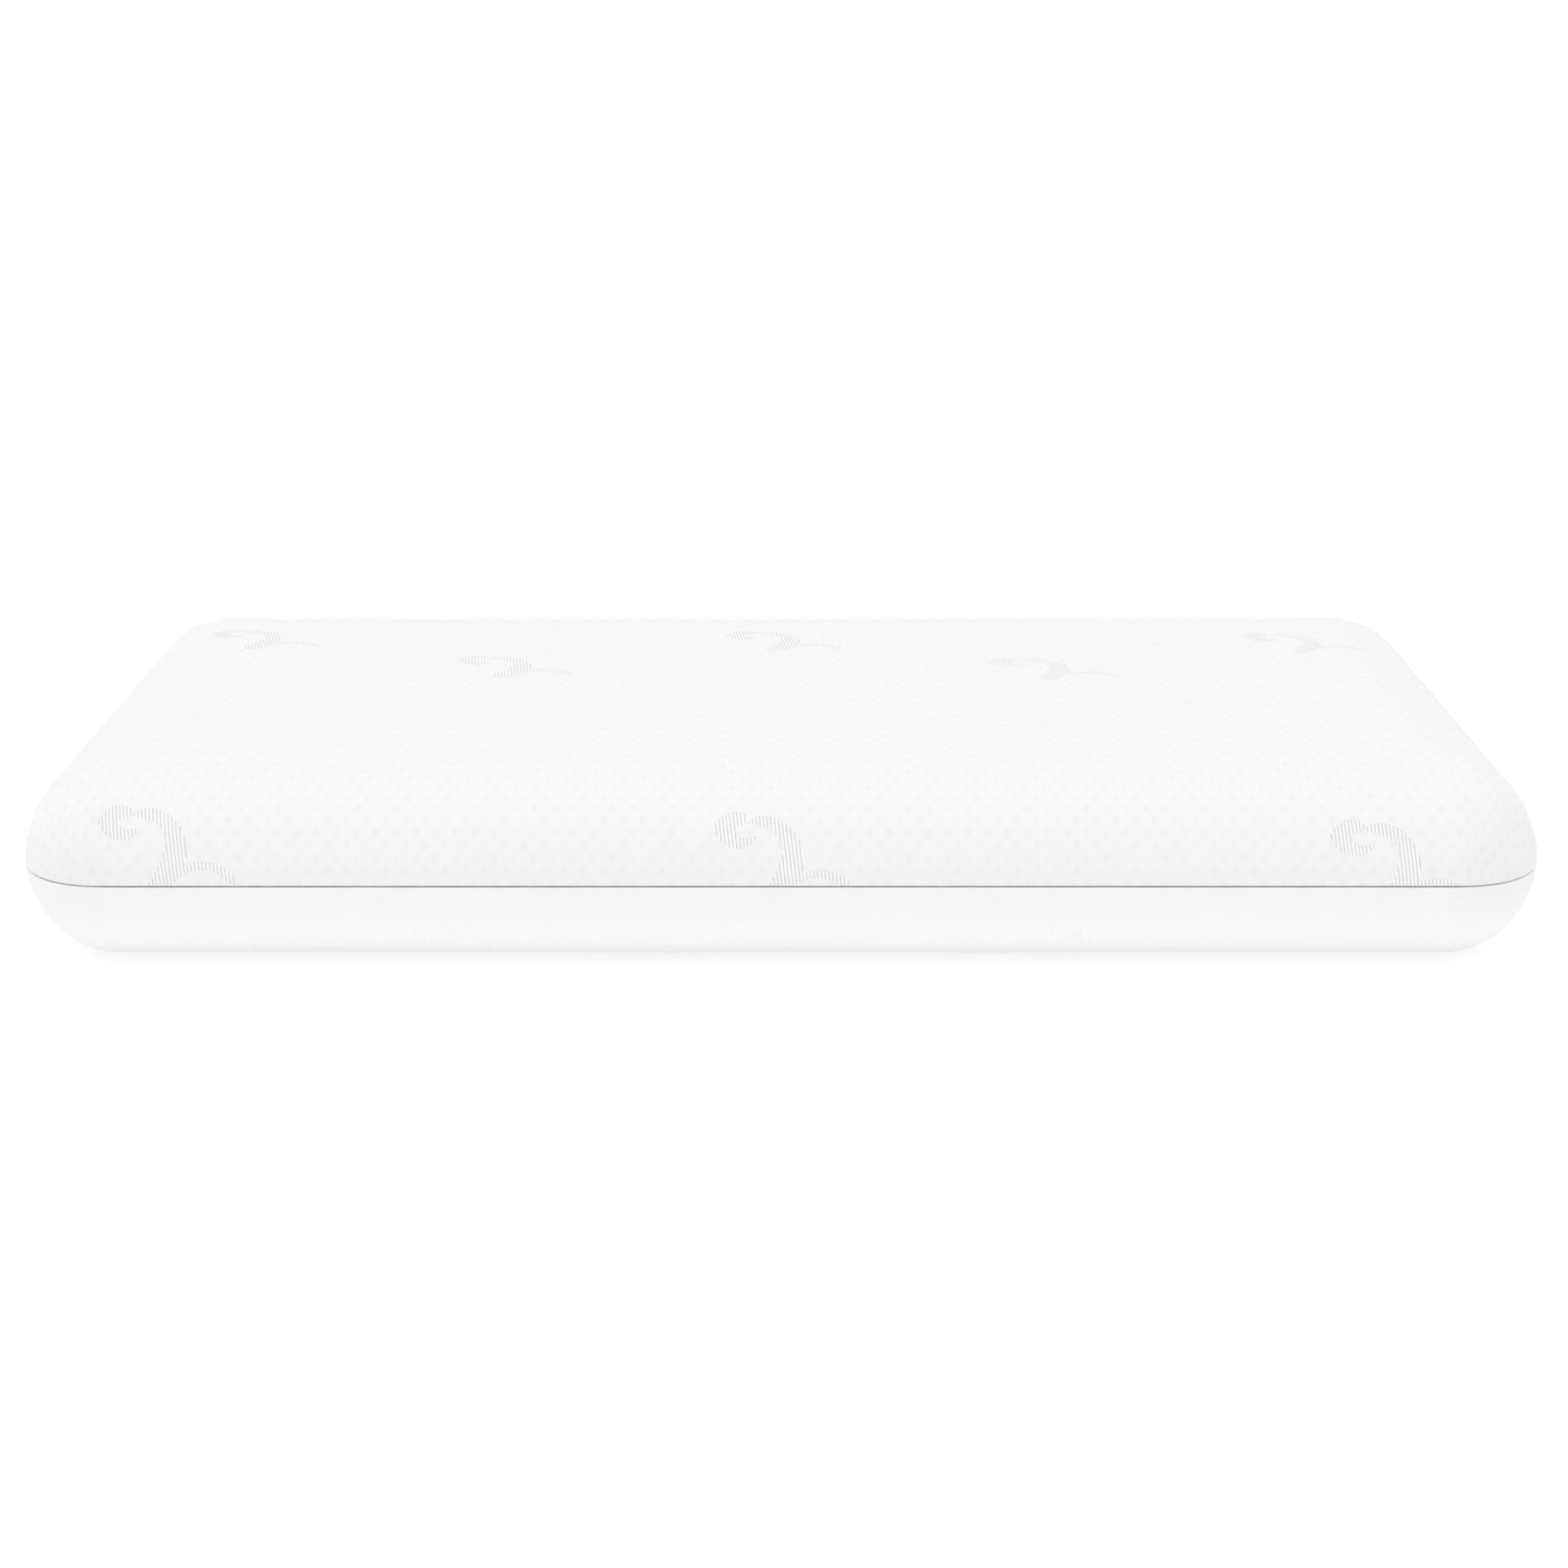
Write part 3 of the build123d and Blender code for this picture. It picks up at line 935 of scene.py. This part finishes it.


# Woven tape: a fine herringbone that turns back half way across, with painted shade in its twill's grooves.
tape_material, tree, shader = new_material("herringbone_tape", 0.8)
shader.inputs["Sheen Weight"].default_value = 0.1
tape_axes = put(tree, "SeparateXYZ", {0: put(tree, "UVMap", uv_map="UVMap").outputs[0]}).outputs
half_across = calc(tree, "PINGPONG", tape_axes[1], 0.25)
slanting = calc(tree, "ADD", tape_axes[0], half_across)
herringbone = calc(tree, "SINE", calc(tree, "MULTIPLY", slanting, twill_turns))
twill = calc(tree, "MULTIPLY_ADD", herringbone, 0.5, 0.5)
tree.links.new(tint(tree, twill, tape_painted_shade, tape_colour), shader.inputs["Base Color"])
raise_relief(tree, shader, twill, 0.0002)

# Moulded monofilament: smooth and slightly milky.
coil_material, tree, shader = new_material("coil_monofilament", 0.35)
milk = put(tree, "TexNoise", {0: put(tree, "TexCoord").outputs["Object"], "Scale": 300.0}).outputs[0]
tree.links.new(tint(tree, milk, coil_dark, coil_colour), shader.inputs["Base Color"])
raise_relief(tree, shader, milk, 0.00005)

# Die-cast zinc, barrel-polished: fine scratches, and patches rubbed brighter at random.
rubbed_metal, rubbed_in, rubbed_out = new_group(
    "rubbed_metal", [("Place", "Vector")], [("Relief", "Float"), ("Tone", "Float"), ("Roughness", "Float")]
)
tree = rubbed_metal
scratches = put(tree, "TexNoise", {0: rubbed_in["Place"], "Scale": 900.0, "Detail": 6.0}).outputs[0]
handled = put(tree, "TexNoise", {0: rubbed_in["Place"], "Scale": 160.0, "Detail": 2.0}).outputs[0]
tree.links.new(scratches, rubbed_out["Relief"])
worn = calc(tree, "MULTIPLY_ADD", scratches, 0.4, calc(tree, "MULTIPLY", handled, 0.6))
tree.links.new(worn, rubbed_out["Tone"])
tree.links.new(calc(tree, "MULTIPLY_ADD", handled, 0.25, 0.2), rubbed_out["Roughness"])


def zinc(name, dark, light, depth):
    """Cast zinc with its own tone and depth of scratches."""
    material, tree, shader = new_material(name, 0.3)
    shader.inputs["Metallic"].default_value = 1.0
    rubbed = use_group(tree, rubbed_metal, {"Place": put(tree, "TexCoord").outputs["Object"]})
    tree.links.new(tint(tree, rubbed["Tone"], dark, light), shader.inputs["Base Color"])
    tree.links.new(rubbed["Roughness"], shader.inputs["Roughness"])
    raise_relief(tree, shader, rubbed["Relief"], depth)
    return material


stop_zinc = zinc("stop_zinc", zinc_dark, zinc_colour, 0.00003)
zip_tape("lower_tape", "lower_zip_tape", "lower_cover")
zip_coil("lower_coil", -1, "lower_zip_coil", "lower_cover")
tape_stitching("lower_tape_seam", "lower_tape_stitching", "lower_cover")
dress(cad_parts["lower_chain_stops"], stop_zinc)

# ---- garage over the chain's ends ----------------------------------------------
# A folded patch of the cover's own knit, sewn over the place where the two ends of the
# zip meet, so that the parked slider and the stops don't scratch.
garage_hem = 0.0030
garage_round = 0.0032
garage_clear = 0.0003
garage_thickness = 0.0009
patch_stitch_size = (0.0022, 0.0005, 0.0005)
patch_stitch_pitch = 0.0028
patch_stitch_height = 0.0006
garage_rings = ((0.0006, 0.0003), (0.0024, 0.0001), (0.0008, -0.0003), (0.0016, 0.0007), (0.0030, 0.0003))

garage_size = garage_high - garage_low
garage_place = (chain_end_x, width / 2 + garage_clear, zip_height)
bpy.ops.object.select_all(action="DESELECT")
bpy.ops.mesh.primitive_plane_add(size=1, location=garage_place, rotation=(quarter_turn, 0, math.pi))
garage = bpy.context.object
garage.name = "garage_patch"
garage.scale = (garage_size.x, garage_size.z, 1)
bpy.ops.object.transform_apply(location=True, rotation=True, scale=True)
bpy.ops.object.mode_set(mode="EDIT")
bpy.ops.mesh.select_all(action="SELECT")
bpy.ops.mesh.bevel(offset=garage_round, segments=4, affect="VERTICES")
bpy.ops.mesh.select_mode(type="FACE")
bpy.ops.mesh.select_all(action="SELECT")
ring_size = Vector((garage_size.x, 0, garage_size.z))
for inwards, rise in garage_rings:
    next_size = ring_size - Vector((2 * inwards, 0, 2 * inwards))
    shrink = (next_size.x / ring_size.x, 1, next_size.z / ring_size.z)
    bpy.ops.mesh.extrude_region_move(TRANSFORM_OT_translate={"value": (0, rise, 0)})
    bpy.ops.transform.resize(value=shrink, center_override=garage_place)
    ring_size = next_size
bpy.ops.object.mode_set(mode="OBJECT")
apply_modifier(garage, "SOLIDIFY", thickness=garage_thickness, offset=-1)
apply_modifier(garage, "SUBSURF", levels=2, render_levels=2)
pick(garage)
bpy.ops.object.shade_smooth()

patch_material, tree, shader = new_material("patch_knit", 0.85)
shader.inputs["Sheen Weight"].default_value = 0.1
upright = put(tree, "Mapping", {0: put(tree, "TexCoord").outputs["Object"], 2: (quarter_turn, 0, 0)})
patch_loops = use_group(
    tree, knit_loops, {"Cloth": upright.outputs[0], "Column": cover_column, "Course": cover_course}
)
# Painted shade in the loops' gutters and painted highlight on their crests.
patch_painted_shading = tint(tree, patch_loops["Relief"], base_knit_shadow, base_knit_painted_highlight)
tree.links.new(patch_painted_shading, shader.inputs["Base Color"])
raise_relief(tree, shader, patch_loops["Relief"], 0.0003)
dress(garage, patch_material)
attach(garage, "lower_cover")
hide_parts("zip_garage")

seam_y = width / 2 + patch_stitch_height
west, east = garage_low.x + garage_hem, garage_high.x - garage_hem
south, north = garage_low.z + garage_hem, garage_high.z - garage_hem
patch_rows = []
for start, end in (
    ((west, seam_y, south), (east, seam_y, south)),
    ((west, seam_y, north), (east, seam_y, north)),
    ((west, seam_y, south), (west, seam_y, north)),
    ((east, seam_y, south), (east, seam_y, north)),
):
    patch_rows.append(stitch_row("patch_stitch", patch_stitch_size, start, end, patch_stitch_pitch))
patch_seam = join_pieces(patch_rows, "garage_patch_seam")
dress(patch_seam, thread_material)
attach(patch_seam, "lower_cover")

# ---- care label -----------------------------------------------------------------
# A blank piece of satin ribbon, caught in the lower cover's lip seam at the back. It
# lies on the rounded side and curls away a little at its free end.
label_rows = 20
label_columns = 10
label_clear = 0.0010
label_curl = 0.0035
label_thickness = 0.00045
label_ripple = 0.0005
label_ripple_turns = 110.0
satin_colour = (0.88, 0.88, 0.87, 1)
satin_dark = (0.80, 0.80, 0.79, 1)

label_low, label_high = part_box("care_label")
label_width = label_high.x - label_low.x
label_drop = label_high.z - label_low.z
bpy.ops.object.select_all(action="DESELECT")
bpy.ops.mesh.primitive_plane_add(size=1, rotation=(quarter_turn, 0, math.pi))
label = bpy.context.object
label.name = "care_label_ribbon"
label.scale = (label_width, label_drop, 1)
label.location = ((label_low.x + label_high.x) / 2, 0, (label_low.z + label_high.z) / 2)
bpy.ops.object.transform_apply(location=True, rotation=True, scale=True)
bpy.ops.object.mode_set(mode="EDIT")
select_edges(label, lambda edge: abs(edge.verts[0].co.z - edge.verts[1].co.z) > label_drop / 2)
bpy.ops.mesh.subdivide(number_cuts=label_rows)
select_edges(label, lambda edge: abs(edge.verts[0].co.x - edge.verts[1].co.x) > label_width / 2)
bpy.ops.mesh.subdivide(number_cuts=label_columns)
mesh = bmesh.from_edit_mesh(label.data)
for vertex in mesh.verts:
    hanging = (label_high.z - vertex.co.z) / label_drop
    angle = math.asin(min(1.0, (zip_height - vertex.co.z) / zip_height))
    ripple = math.sin((vertex.co.x - label_low.x) * label_ripple_turns) * label_ripple * hanging
    away = label_clear + label_curl * hanging**3 + ripple
    vertex.co.y = straight.y + panel_corner + (edge_reach + away) * math.cos(angle)
    vertex.co.z -= away * math.sin(angle)
bmesh.update_edit_mesh(label.data)
bpy.ops.object.mode_set(mode="OBJECT")
apply_modifier(label, "SOLIDIFY", thickness=label_thickness, offset=0)
apply_modifier(label, "SUBSURF", levels=1, render_levels=1)
pick(label)
bpy.ops.object.shade_smooth()

satin_material, tree, shader = new_material("label_satin_weave", 0.4)
shader.inputs["Sheen Weight"].default_value = 0.3
satin_place = put(tree, "Mapping", {0: put(tree, "TexCoord").outputs["Object"], 3: (1.0, 1.0, 0.15)})
satin_floats = put(tree, "TexNoise", {0: satin_place.outputs[0], "Scale": 1800.0, "Detail": 2.0}).outputs[0]
tree.links.new(tint(tree, satin_floats, satin_dark, satin_colour), shader.inputs["Base Color"])
raise_relief(tree, shader, satin_floats, 0.00008)
dress(label, satin_material)
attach(label, "lower_cover")
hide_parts("care_label")

# ---- upper cover ----------------------------------------------------------------
# The upper half of the cover: the sleeping face and the sides down to the zip, in the
# same knit with its dimples raised higher and its scrolls fully ribbed.
# Painted highlight on the rib crests and painted shadow in the rib grooves and the dimples.
top_knit_painted_highlight = (0.925, 0.925, 0.921, 1)
top_knit_shadow = (0.645, 0.645, 0.641, 1)

top_zip_line = -panel_width / 2 - quarter_length(1, cover_side, 0)
upper_cover_knit = jacquard_material(
    "upper_cover_knit", top_zip_line, 0.6, 1.0, top_knit_shadow, top_knit_painted_highlight
)
cover_half("upper_cover_knit", "top_cover", "upper_cover", 1, upper_cover_knit)

# ---- upper half of the zip ------------------------------------------------------
# The matching tape, coil, stops and stitching, sewn behind the upper cover's lip.
zip_tape("upper_tape", "upper_zip_tape", "upper_cover")
zip_coil("upper_coil", 1, "upper_zip_coil", "upper_cover")
tape_stitching("upper_tape_seam", "upper_tape_stitching", "upper_cover")
dress(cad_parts["upper_chain_stops"], stop_zinc)
bpy.data.objects.remove(zip_guide)

# ---- zip slider and pull tab ----------------------------------------------------
# Die-cast zinc: the slider's two plates run outside and inside the coils, and its pull
# tab swings on the crown. Their CAD shapes are right, so they are kept.
dress(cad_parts["zip_slider"], zinc("slider_zinc", zinc_dark, zinc_colour, 0.00004))
dress(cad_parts["zip_pull_tab"], zinc("pull_zinc", zinc_dark, handled_zinc_colour, 0.00003))

# ---- floor, light and camera ----------------------------------------------------
# A plain white studio: a wide pale floor that glows a little, so that shadows stay faint,
# a white surround, one broad soft light from above, and a weak one in front.
floor_radius = 60.0
floor_drop = 0.0005
floor_colour = (0.66, 0.66, 0.66, 1)
floor_glow = 0.45
surround_horizon = 1.0
surround_zenith = 0.7
overhead_strength = 1.22
overhead_spread = 40.0
overhead_tilt = (5.0, -6.0)
fill_power = 0.8
fill_size = (3.5, 1.2)
fill_place = (0, -3.8, 0.3)
fill_tilt = 92.0
camera_place = (0.0, -3.357, 1.221)
camera_tilt = 71.6
camera_lens = 58.6
camera_shift = 0.0019

bpy.ops.object.select_all(action="DESELECT")
floor_place = (0, 0, -floor_drop)
bpy.ops.mesh.primitive_circle_add(
    vertices=96, radius=floor_radius, fill_type="NGON", location=floor_place
)
floor = bpy.context.object
floor.name = "studio_floor"
floor_material, tree, shader = new_material("studio_white", 0.9)
floor_drift = put(tree, "TexNoise", {0: put(tree, "TexCoord").outputs["Object"], "Scale": 0.6}).outputs[0]
floor_dark = tuple(channel * 0.99 for channel in floor_colour[:3]) + (1,)
floor_tone = tint(tree, floor_drift, floor_dark, floor_colour)
tree.links.new(floor_tone, shader.inputs["Base Color"])
shader.inputs["Emission Color"].default_value = (1, 1, 1, 1)
shader.inputs["Emission Strength"].default_value = floor_glow
dress(floor, floor_material)

surround = bpy.data.worlds.new("white_surround")
surround.use_nodes = True
tree = surround.node_tree
upwards = put(tree, "SeparateXYZ", {0: put(tree, "TexCoord").outputs["Generated"]}).outputs[2]
climb = calc(tree, "MAXIMUM", upwards, 0.0)
brightness = calc(tree, "MULTIPLY_ADD", climb, surround_zenith - surround_horizon, surround_horizon)
tree.nodes["Background"].inputs["Color"].default_value = (1, 1, 1, 1)
tree.links.new(brightness, tree.nodes["Background"].inputs["Strength"])
bpy.context.scene.world = surround
bpy.context.scene.view_settings.view_transform = "Standard"

tilt_forward, tilt_aside = (math.radians(angle) for angle in overhead_tilt)
bpy.ops.object.light_add(type="SUN", location=(0, 0, 4), rotation=(tilt_forward, tilt_aside, 0))
overhead = bpy.context.object
overhead.name = "overhead_light"
overhead.data.energy = overhead_strength
overhead.data.angle = math.radians(overhead_spread)

bpy.ops.object.light_add(type="AREA", location=fill_place, rotation=(math.radians(fill_tilt), 0, 0))
fill = bpy.context.object
fill.name = "front_fill"
fill.data.shape = "RECTANGLE"
fill.data.size, fill.data.size_y = fill_size
fill.data.energy = fill_power
fill.visible_camera = False

bpy.ops.object.camera_add(location=camera_place, rotation=(math.radians(camera_tilt), 0, 0))
camera = bpy.context.object
camera.data.lens = camera_lens
camera.data.shift_x = camera_shift
camera.data.clip_end = 200.0
bpy.context.scene.camera = camera
